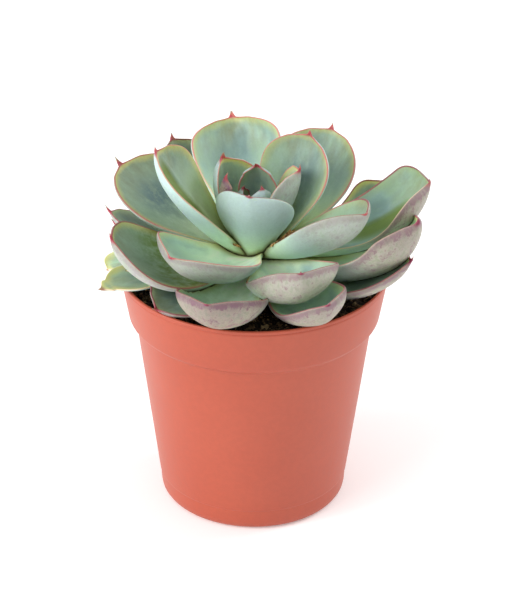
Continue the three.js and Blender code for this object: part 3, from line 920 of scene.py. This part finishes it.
# Every leaf from the youngest outwards, each carved by the space of the younger ones near it. The
# cutters are deleted, and the closeness is stored when all the leaves are there.
def makeLeaves(material):
    cutters = []
    blades = []
    for leaf in allLeaves():
        look = dict(zip(lookNames, leafLooks.get(leaf["order"], usualLook)))
        look["number"] = leaf["order"]
        points, quads, triangles, facts = dressedLeaf(leaf, look)
        piece = makePiece(f"leafBlade_{leaf['order']:02d}", points, [quads, triangles], facts)
        finishPiece(piece, material, f"leaf_{leaf['order']:02d}")
        near = [cutter for box, cutter in cutters if boxesMeet(points, box)]
        if near:
            carve(piece, near, "MANIFOLD", carving["sharpAngle"])
        cutLook = {**look, **carving["cutFace"]}
        space, quads, triangles, facts = dressedLeaf(leaf, cutLook, carving["clearance"])
        cutters.append((space, makePiece("leafSpace", space, [quads, triangles], facts)))
        blades.append((space, piece))
    for _, cutter in cutters:
        bpy.data.objects.remove(cutter)
    for space, piece in blades:
        storeCloseness(piece, [other for box, other in blades if other != piece and boxesMeet(space, box)])
    print("leaves:", len(blades))


leafMaterial = makeLeafSkin("leafSkin", leafSkin)
makeLeaves(leafMaterial)


bud = {
    "orders": [0, -1, -2, -3],
    "length": (23, 3),  # of the first leaf, and how much shorter each next one is
    "width": (12, 1.4),
    "rise": 79,
    "lift": 102,
    "cup": 50,
    "flesh": 1.4,
    "mucroShare": 0.6,
    "noiseOrder": 60,
    "coreRadius": 3.2,
    "coreSeat": 112,
    "coreHeight": 7,
    "coreSides": 32,
    "coreRings": 12,
    "coreTop": 0.98,
    "look": (0.0, 0.3, 0.5, 0.8, 0.8, 0.7, 0, 0.7),
    "corePlace": {"along": 0.2, "across": 0, "margin": 5, "under": 0, "furrow": 0, "thorn": -10,
                  "sideways": 0, "reach": 3},
}


# Turns [radius, height] points about Z into rings, open at both ends
def turnedRings(profile, sides):
    angle = np.linspace(0, 2 * math.pi, sides, endpoint=False)
    radius, height = np.asarray(profile, float).T
    return np.stack([radius[:, None] * np.cos(angle), radius[:, None] * np.sin(angle),
                     np.broadcast_to(height[:, None], (len(radius), sides))], axis=-1)


# Joins several closed surfaces in one mesh, shifting each one's face numbers
def joinSurfaces(surfaces):
    points, quads, triangles, facts, start = [], [], [], {}, 0
    for surfacePoints, surfaceQuads, surfaceTriangles, surfaceFacts in surfaces:
        points.append(surfacePoints)
        quads.append(surfaceQuads + start)
        triangles.append(surfaceTriangles + start)
        for key, values in surfaceFacts.items():
            facts.setdefault(key, []).append(values)
        start += len(surfacePoints)
    facts = {key: np.concatenate(values) for key, values in facts.items()}
    return np.vstack(points), np.vstack(quads), np.vstack(triangles), facts


# The core: a small dome, radius x sqrt(1 - h^2) above its seat
def budCore():
    share = np.sin(np.linspace(0, bud["coreTop"], bud["coreRings"]) * math.pi / 2)
    dome = np.stack([bud["coreRadius"] * np.sqrt(1 - share ** 2),
                     bud["coreSeat"] + bud["coreHeight"] * share], 1)
    rings = turnedRings(dome, bud["coreSides"])
    points, quads, triangles = closedGrid(
        rings, [0, 0, bud["coreSeat"]], [0, 0, bud["coreSeat"] + bud["coreHeight"]])
    return points, quads, triangles, {
        key: np.full(len(points), float(value)) for key, value in bud["corePlace"].items()}


# The bud: its leaves go on along the spiral, each a step shorter and narrower, round the core
def makeBud(material):
    surfaces = []
    for index, order in enumerate(bud["orders"]):
        leaf = onSpiral(order)
        for name in ("length", "width"):
            leaf[name] = bud[name][0] - bud[name][1] * index
        for name in ("rise", "lift", "cup", "flesh"):
            leaf[name] = bud[name]
        leaf["mucro"] *= bud["mucroShare"]
        leaf["order"] += bud["noiseOrder"]
        surfaces.append(leafSurface(leaf))
    surfaces.append(budCore())
    points, quads, triangles, facts = joinSurfaces(surfaces)
    look = dict(zip(lookNames, bud["look"]), number=0, closeness=1, pool=0)
    for key, value in look.items():
        facts[key] = np.full(len(points), value)
    piece = makePiece("budLeaves", points, [quads, triangles], facts)
    finishPiece(piece, material, "bud")


makeBud(leafMaterial)
print("bud done")


dryScales = {
    # start, middle and end of each flake in millimetres, and its width
    "flakes": [
        ((6.6, -14.3, 114.2), (10.6, -9.6, 115.2), (15.6, -5.4, 116.9), 1.7),
        ((9.4, -11.0, 115.3), (12.0, -8.6, 116.3), (13.8, -6.6, 117.8), 1.2),
        ((6.0, -14.8, 114.4), (7.4, -14.3, 115.3), (8.8, -13.4, 115.1), 1.3),
        ((-8.5, -13.2, 114.8), (-7.0, -12.6, 113.8), (-5.2, -11.0, 112.3), 1.0),
    ],
    "thick": 0.2,
    "ends": (0.02, 0.98),
    "taper": 0.6,
    "facing": (0, -0.9, 0.4),
    "crinkle": 0.35,
    "crinkleWaves": (5, 0.8),  # along and around
    "stations": 36,
    "around": 16,
    "seed": 5,
    "finish": {
        "base": paint(122, 80, 42),
        "gold": paint(206, 156, 90),
        "pale": paint(232, 198, 160),
        "noises": {"cloud": (700, 4, 0.6), "fleck": (1600, 3, 0.6)},
        "layers": [("gold", 1, ("cloud", 0.4, 0.62)), ("pale", 1, ("fleck", 0.5, 0.7))],
        "roughness": 0.6,
        "specular": 0.3,
        "bump": ("fleck", 0.5, 0.0002),
    },
}


# A flake: thin oval sections along the parabola through three points, their width a power of a
# sine, crinkled by ripples
def flakeSurface(random, start, middle, end, width):
    share = np.linspace(*dryScales["ends"], dryScales["stations"])[:, None]
    around = np.linspace(0, 2 * math.pi, dryScales["around"], endpoint=False)
    start, middle, end = np.array(start), np.array(middle), np.array(end)
    bend = 2 * middle - (start + end) / 2
    path = (1 - share) ** 2 * start + 2 * share * (1 - share) * bend + share ** 2 * end
    along = np.gradient(path, axis=0)
    along /= np.linalg.norm(along, axis=1, keepdims=True)
    side = np.cross(along, dryScales["facing"])
    side /= np.linalg.norm(side, axis=1, keepdims=True)
    normal = np.cross(side, along)
    half = width / 2 * np.sin(math.pi * share) ** dryScales["taper"]
    alongWaves, aroundWaves = dryScales["crinkleWaves"]
    crinkle = dryScales["crinkle"] * ripples(random, share * alongWaves, np.cos(around) * aroundWaves)
    outwards = half * np.cos(around)
    upwards = dryScales["thick"] / 2 * np.sin(around) + crinkle
    rings = path[:, None] + side[:, None] * outwards[..., None] + normal[:, None] * upwards[..., None]
    return *closedGrid(rings, rings[0].mean(0), rings[-1].mean(0)), {}


# Flakes of dried leaf skin in the axils, brown with gold clouds and pale flecks
def makeDryScales():
    random = np.random.default_rng(dryScales["seed"])
    surfaces = [flakeSurface(random, *flake) for flake in dryScales["flakes"]]
    points, quads, triangles, _ = joinSurfaces(surfaces)
    piece = makePiece("dryScales", points, [quads, triangles])
    finishPiece(piece, makeFinish("dryScale", dryScales["finish"]), "leaf_05")


makeDryScales()
print("dry scales:", len(dryScales["flakes"]))


stem = {
    "profile": [(4.5, 74), (6, 82), (6, 107), (2.6, 111)],
    "radius": 6,
    "steps": 60,
    "sides": 48,
    "scarDepth": 0.25,
    "scarRise": 2.2,
    "scarSpirals": 3,
    "finish": {
        "base": paint(112, 96, 66),
        "pale": paint(150, 150, 104),
        "noises": {"bark": (260, 5, 0.65, (1, 1, 0.4))},
        "layers": [("pale", 1, ("bark", 0.35, 0.65))],
        "roughness": 0.8,
        "specular": 0.3,
        "bump": ("bark", 0.6, 0.0008),
    },
}


# The stem: the plain turned form, its radius dented by leaf scars, a sine along the height that
# runs round it in spirals
def makeStem():
    radii, heights = np.array(stem["profile"], float).T
    height = np.linspace(heights[0], heights[-1], stem["steps"])
    rings = turnedRings(np.stack([np.interp(height, heights, radii), height], 1), stem["sides"])
    angle = np.arctan2(rings[..., 1], rings[..., 0])
    turn = height[:, None] * 2 * math.pi / stem["scarRise"] + stem["scarSpirals"] * angle
    scar = np.maximum(np.sin(turn), 0)
    rings[..., :2] *= (1 - stem["scarDepth"] * scar / stem["radius"])[..., None]
    points, quads, triangles = closedGrid(rings, [0, 0, heights[0]], [0, 0, heights[-1]])
    piece = makePiece("stemBark", points, [quads, triangles])
    finishPiece(piece, makeFinish("stemBark", stem["finish"]), "stem")


makeStem()
print("stem done")


pot = {
    "height": 98.3,
    "rimRadius": 52.5,
    "lipHeight": 1.5,
    "lipGroove": 0.4,
    "collarTopRadius": 52,
    "collarBottomRadius": 48.9,
    "collarHeight": 18.8,
    "stepHeight": 2.4,
    "bodyTopRadius": 46.3,
    "bodyBottomRadius": 36.7,
    "footRadius": 33,
    "footFillet": 3.6,
    "footSwell": 0.05,
    "footRounding": 3.9,
    "ledgeHeight": 9,
    "ledgeDepth": 0.25,
    "ledgeStart": (0.2, 0.6),  # inwards and down from the ledge
    "collarDrop": 0.7,
    "underLip": (0.1, 0.8),  # inwards and down from the lip
    "grooveTop": 0.1,
    "lipEdge": 0.25,
    "wall": 1.2,
    "floor": 3.2,
    "floorCorner": 8,
    "baseLift": 2,
    "padRadius": 9,
    "baseSlope": 1,
    "footInnerRadius": 28.5,
    "holes": 8,
    "holeRadius": 3,
    "holeCircle": 19,
    "holeSides": 32,
    "holeReach": (-2, 6),
    "sides": 224,
    "sharpAngle": 50,
    "finish": {
        "base": paint(182, 82, 57),
        "deep": paint(178, 78, 53),
        "noises": {"cloud": (25, 3), "peel": (1100, 2, 0.4), "speck": (420, 5, 0.7)},
        "layers": [("deep", 1, ("cloud", 0.3, 0.7))],
        "tones": ((0.97, 0.97, 0.97, 1), (1.03, 1.03, 1.03, 1), ("speck", 0.35, 0.65)),
        "roughness": 0.4,
        "roughSpread": ("speck", -0.06, 0.1),
        "specular": 0.5,
        "bump": ("peel", 0.12, 0.0001),
    },
}
collarBottom = pot["height"] - pot["collarHeight"]
bodyTop = collarBottom - pot["stepHeight"]


# Radius of the body's outside: straight from the foot to under the collar
def bodyRadius(height):
    share = (height - pot["footFillet"]) / (bodyTop - pot["footFillet"])
    return pot["bodyBottomRadius"] + (pot["bodyTopRadius"] - pot["bodyBottomRadius"]) * share


# A profile of [radius, height, rounding] corners; each corner becomes a quadratic curve that
# leaves its sides at the rounding's distance from the corner, or near their middles if that is less
def roundedProfile(corners, steps=5, most=0.48):
    path = np.array([corner[:2] for corner in corners], float)
    points = [path[0]]
    for index in range(1, len(corners) - 1):
        corner, rounding = path[index], corners[index][2]
        back, ahead = path[index - 1] - corner, path[index + 1] - corner
        backLength, aheadLength = np.linalg.norm(back), np.linalg.norm(ahead)
        start = corner + back / backLength * min(rounding, most * backLength)
        end = corner + ahead / aheadLength * min(rounding, most * aheadLength)
        share = np.linspace(0, 1, steps)[:, None]
        points.extend((1 - share) ** 2 * start + 2 * share * (1 - share) * corner + share ** 2 * end)
    points.append(path[-1])
    return np.array(points)


# The pot's section, from the middle of its underside out over foot, body, collar and lip, and down
# inside to the middle of its floor: a radius, a height and a rounding for each corner
def potProfile():
    height, wall, base = pot["height"], pot["wall"], pot["baseLift"]
    lip = height - pot["lipHeight"]
    ledge, step = pot["ledgeHeight"], pot["ledgeDepth"]
    ledgeRadius = bodyRadius(ledge)
    ledgeIn, ledgeDown = pot["ledgeStart"]
    lipIn, lipDown = pot["underLip"]
    corners = [
        (pot["padRadius"] * 0.5, 0, 0),
        (pot["padRadius"], 0, 0.4),
        (pot["padRadius"] + pot["baseSlope"], base, 0.6),
        (pot["footInnerRadius"] - pot["baseSlope"], base, 0.6),
        (pot["footInnerRadius"], 0, 0.5),
        (pot["bodyBottomRadius"] + pot["footSwell"], 0, pot["footRounding"]),
        (ledgeRadius - ledgeIn, ledge - ledgeDown, 0.5),
        (ledgeRadius - step / 2, ledge, 0.15),
        (ledgeRadius + step / 2, ledge + step, 0.5),
        (pot["bodyTopRadius"], bodyTop, 1.0),
        (pot["collarBottomRadius"], collarBottom - pot["collarDrop"], 1.1),
        (pot["collarTopRadius"] - lipIn, lip - lipDown, 0.4),
        (pot["collarTopRadius"] - pot["lipGroove"], lip + pot["grooveTop"], 0.12),
        (pot["rimRadius"], lip + pot["lipEdge"], 0.2),
        (pot["rimRadius"], height, 0.45),
        (pot["rimRadius"] - wall, height, 0.35),
        (pot["collarTopRadius"] - wall, lip, 0.5),
        (pot["collarBottomRadius"] - wall, collarBottom + wall, 1.0),
        (pot["bodyTopRadius"] - wall, bodyTop + wall, 1.0),
        (bodyRadius(pot["floorCorner"]) - wall, pot["floorCorner"], 1.5),
        (pot["footRadius"] - wall, pot["floor"], 1.5),
        (pot["padRadius"] * 0.5, pot["floor"], 0),
    ]
    return roundedProfile(corners)


# Cylinders that cut the drain holes, set round a circle
def drainCutter():
    surfaces = []
    below, above = pot["holeReach"]
    for hole in range(pot["holes"]):
        angle = 2 * math.pi * (hole + 0.5) / pot["holes"]
        centre = np.array([pot["holeCircle"] * math.cos(angle), pot["holeCircle"] * math.sin(angle), 0])
        walls = [(pot["holeRadius"], below), (pot["holeRadius"], above)]
        rings = turnedRings(walls, pot["holeSides"]) + centre
        surfaces.append((*closedGrid(rings, centre + [0, 0, below], centre + [0, 0, above]), {}))
    points, quads, triangles, _ = joinSurfaces(surfaces)
    return makePiece("drainCutter", points, [quads, triangles])


# The pot: its section turned about Z, with the drain holes cut out
def makePot():
    rings = turnedRings(potProfile(), pot["sides"])
    points, quads, triangles = closedGrid(rings, [0, 0, 0], [0, 0, pot["floor"]])
    piece = makePiece("potShell", points, [quads, triangles])
    cutter = drainCutter()
    carve(piece, [cutter], "EXACT", pot["sharpAngle"])
    bpy.data.objects.remove(cutter)
    finishPiece(piece, makeFinish("potPlastic", pot["finish"]), "pot")


makePot()
print("pot done")


soil = {
    "top": 92.6,
    "edgeDrop": 0.8,
    "edgeWidth": 2,
    "inset": 0.3,
    # the stem's hole: its radius, its shoulder's height, and its foot's radius and height
    "holeRadius": 6.3,
    "holeShoulder": 80,
    "holeFoot": (4.8, 73.7),
    "rings": 110,
    "sides": 320,
    # cell size and height of three lattice noises
    "lump": (5.0, 1.1),
    "crumb": (1.5, 0.8),
    "grain": (0.6, 0.35),
    "latticeShift": 200,
    "seed": 11,
    "finish": {
        "base": paint(34, 27, 22),
        "brown": paint(84, 66, 46),
        "tan": paint(150, 122, 90),
        "noises": {"grains": (900, 5, 0.7), "blots": (260, 3, 0.6)},
        "layers": [
            ("brown", 1, ("grains", 0.45, 0.62)),
            ("tan", 1, ("grains", 0.62, 0.72), ("blots", 0.5, 0.6)),
        ],
        "roughness": 0.95,
        "specular": 0.2,
        "bump": ("grains", 0.8, 0.0006),
    },
}


# Soil height: its level plus lattice noise of three cell sizes, each times its own height
def soilRelief(x, y):
    height = np.zeros(np.shape(x))
    shift = soil["latticeShift"]
    for index, key in enumerate(("lump", "crumb", "grain")):
        cell, tall = soil[key]
        height = height + tall * (latticeNoise(x + shift, y + shift, cell, soil["seed"] + index) - 0.5)
    return height


# The soil: a section turned about Z that keeps inside the pot's wall, with its top raised by the
# relief and dropped at the edge by a smooth step, and the stem's hole in its middle
def makeSoil():
    inset = pot["wall"] + soil["inset"]
    edgeHeight = soil["top"] - soil["edgeDrop"]
    share = (edgeHeight - collarBottom) / (pot["height"] - pot["lipHeight"] - collarBottom)
    edgeRadius = pot["collarBottomRadius"] - inset + share * (
        pot["collarTopRadius"] - pot["collarBottomRadius"])
    bottom = pot["floor"] + soil["inset"]
    below = [
        (pot["footRadius"] - inset, bottom),
        (bodyRadius(pot["floorCorner"]) - inset, pot["floorCorner"]),
        (pot["bodyTopRadius"] - inset, bodyTop + pot["wall"]),
        (pot["collarBottomRadius"] - inset, collarBottom + pot["wall"]),
        (edgeRadius, edgeHeight),
    ]
    reach = np.linspace(edgeRadius - soil["inset"], soil["holeRadius"], soil["rings"])
    top = [(radius, soil["top"]) for radius in reach]
    hole = [(soil["holeRadius"], soil["holeShoulder"]), soil["holeFoot"]]
    rings = turnedRings(below + top + hole, soil["sides"])
    surface = slice(len(below), len(below) + len(top))
    x, y = rings[surface, :, 0], rings[surface, :, 1]
    inside = smoothStep(edgeRadius, edgeRadius - soil["edgeWidth"], np.hypot(x, y))
    rings[surface, :, 2] += soilRelief(x, y) * inside - soil["edgeDrop"] * (1 - inside)
    points, quads, triangles = closedGrid(rings, [0, 0, bottom], [0, 0, soil["holeFoot"][1]])
    piece = makePiece("soilBed", points, [quads, triangles])
    finishPiece(piece, makeFinish("soilEarth", soil["finish"]), "soil")


makeSoil()
print("soil done")


crumbs = {
    "count": 3600,
    "size": (0.3, 1.15),
    "smallness": 2.5,  # the power of the draw: higher makes more of the small ones
    "rough": 0.3,
    "sliver": 0.18,  # share of the crumbs that are long chips of bark or fibre
    "sliverStretch": (2.0, 4.5),
    "sliverPaleness": 0.5,
    "flatness": (0.85, 0.35),  # of the crumbs and of the slivers
    "innerRadius": 9,
    "edgeGap": 1.6,
    "sink": 0.2,
    "seed": 23,
    "finish": {
        "base": paint(46, 36, 27),
        "brown": paint(112, 88, 60),
        "tan": paint(170, 146, 106),
        "noises": {"speck": (1500, 3, 0.6)},
        "stored": ["tint"],
        "layers": [("brown", 1, ("tint", 0.3, 0.75)), ("tan", 1, ("tint", 0.78, 0.95))],
        "tones": ((0.6, 0.6, 0.6, 1), (1.3, 1.3, 1.3, 1), "speck"),
        "roughness": 0.9,
        "specular": 0.25,
        "bump": ("speck", 0.6, 0.0003),
    },
}


# The twelve points and twenty faces of an icosahedron of radius 1, from the golden ratio; points
# less than 1.1 apart share an edge
def icosahedron():
    golden = (1 + math.sqrt(5)) / 2
    points = []
    for one in (-1, 1):
        for other in (-golden, golden):
            points.extend([(0, one, other), (one, other, 0), (other, 0, one)])
    points = np.array(points) / math.hypot(1, golden)
    distance = np.linalg.norm(points[:, None] - points[None], axis=2)
    near = (distance > 0.1) & (distance < 1.1)
    faces = []
    for a in range(12):
        for b in range(a + 1, 12):
            for c in range(b + 1, 12):
                if near[a, b] and near[b, c] and near[a, c]:
                    outward = np.dot(np.cross(points[b] - points[a], points[c] - points[a]), points[a]) > 0
                    faces.append((a, b, c) if outward else (a, c, b))
    return points, np.array(faces)


# Rotation matrices from drawn quaternions of length one
def drawnTurns(random, count):
    drawn = random.normal(size=(4, count))
    w, x, y, z = drawn / np.linalg.norm(drawn, axis=0)
    rows = [[1 - 2 * (y * y + z * z), 2 * (x * y - w * z), 2 * (x * z + w * y)],
            [2 * (x * y + w * z), 1 - 2 * (x * x + z * z), 2 * (y * z - w * x)],
            [2 * (x * z - w * y), 2 * (y * z + w * x), 1 - 2 * (x * x + y * y)]]
    return np.array(rows).transpose(2, 0, 1)


# Crumbs: dented icosahedra of many sizes strewn evenly over the soil, some stretched to slivers
def makeCrumbs():
    random = np.random.default_rng(crumbs["seed"])
    count = crumbs["count"]
    shape, faces = icosahedron()
    smallest, largest = crumbs["size"]
    size = smallest + (largest - smallest) * random.random(count) ** crumbs["smallness"]
    dents = 1 + crumbs["rough"] * random.uniform(-1, 1, (count, len(shape), 1))
    points = shape[None] * dents * size[:, None, None]
    sliver = random.random(count) < crumbs["sliver"]
    stretch = np.where(sliver, random.uniform(*crumbs["sliverStretch"], count), 1)
    points[..., 0] *= stretch[:, None]
    points[..., 1:] /= np.sqrt(stretch)[:, None, None]
    points = np.einsum("nij,nkj->nki", drawnTurns(random, count), points)
    points[..., 2] *= np.where(sliver, crumbs["flatness"][1], crumbs["flatness"][0])[:, None]
    outer = pot["collarTopRadius"] - pot["wall"] - crumbs["edgeGap"]
    radius = np.sqrt(random.uniform(crumbs["innerRadius"] ** 2, outer ** 2, count))
    angle = random.uniform(0, 2 * math.pi, count)
    x, y = radius * np.cos(angle), radius * np.sin(angle)
    height = soil["top"] + soilRelief(x, y) + size * (0.5 - crumbs["sink"])
    points += np.stack([x, y, height], 1)[:, None]
    tints = random.random(count) ** np.where(sliver, crumbs["sliverPaleness"], 1)
    allFaces = faces[None] + (np.arange(count) * len(shape))[:, None, None]
    piece = makePiece("soilCrumbs", points.reshape(-1, 3), [allFaces.reshape(-1, 3)],
                      {"tint": np.repeat(tints, len(shape))}, smooth=False)
    finishPiece(piece, makeFinish("soilCrumbs", crumbs["finish"]), "soil")


makeCrumbs()
print("crumbs:", crumbs["count"])


studio = {
    # metres and degrees, but the focal length and the picture's height in pixels and the sensor in
    # millimetres
    "focalPixels": 2477.18,
    "imageHeight": 612,
    "sensor": 36,
    "cameraPlace": (0.00186, -0.84769, 0.54947),
    "lookDown": 28.95,
    "roll": 0.504,
    "floorSize": 6,
    "floorColour": paint(246, 246, 246),
    "floorRoughness": 0.9,
    "floorSpecular": 0.1,
    "floorGlow": 0.2,
    "worldStrength": 0.66,
    "aimHeight": 0.09,
    # name: place, size, energy in watts
    "lights": {
        "keySoftbox": ((-1.15, -0.4, 0.6), 0.6, 6.5),
        "frontSoftbox": ((-1.05, -0.8, 0.9), 0.9, 9.5),
        "rimSoftbox": ((1.0, 0.45, 0.7), 0.6, 7),
        "topSoftbox": ((0.0, -0.1, 1.5), 1.0, 1.5),
    },
}


# A pale paper floor that glows a little, so that it stays white in the pot's shadow
def makeStage():
    size = studio["floorSize"]
    mesh = bpy.data.meshes.new("floor")
    corners = [(-size, -size, 0), (size, -size, 0), (size, size, 0), (-size, size, 0)]
    mesh.from_pydata(corners, [], [(0, 1, 2, 3)])
    floor = bpy.data.objects.new("floor", mesh)
    bpy.context.scene.collection.objects.link(floor)
    material, _, shader = newMaterial("floorPaper", studio["floorRoughness"], studio["floorSpecular"])
    shader.inputs["Base Color"].default_value = studio["floorColour"]
    shader.inputs["Emission Color"].default_value = (1, 1, 1, 1)
    shader.inputs["Emission Strength"].default_value = studio["floorGlow"]
    mesh.materials.append(material)


# Even white light all round, and four square lamps that face a point just under the pot's rim
def makeLights():
    world = bpy.data.worlds.new("studioWorld")
    world.use_nodes = True
    background = world.node_tree.nodes["Background"]
    background.inputs["Color"].default_value = (1, 1, 1, 1)
    background.inputs["Strength"].default_value = studio["worldStrength"]
    bpy.context.scene.world = world
    for name, (place, size, energy) in studio["lights"].items():
        light = bpy.data.lights.new(name, "AREA")
        light.size = size
        light.energy = energy
        lamp = bpy.data.objects.new(name, light)
        aim = Vector((0, 0, studio["aimHeight"])) - Vector(place)
        lamp.location = place
        lamp.rotation_euler = aim.to_track_quat("-Z", "Y").to_euler()
        bpy.context.scene.collection.objects.link(lamp)


# The camera where the photo was taken from: lens = focal length in pixels x sensor / picture height
def makeCamera():
    data = bpy.data.cameras.new("photoCamera")
    data.sensor_width = studio["sensor"]
    data.lens = studio["focalPixels"] * studio["sensor"] / studio["imageHeight"]
    camera = bpy.data.objects.new("photoCamera", data)
    tilt = Matrix.Rotation(math.radians(90 - studio["lookDown"]), 4, "X")
    roll = Matrix.Rotation(math.radians(studio["roll"]), 4, "Z")
    camera.matrix_world = Matrix.Translation(studio["cameraPlace"]) @ tilt @ roll
    bpy.context.scene.collection.objects.link(camera)
    bpy.context.scene.camera = camera
    bpy.context.scene.view_settings.view_transform = "Standard"


makeStage()
makeLights()
makeCamera()
print("stage done")
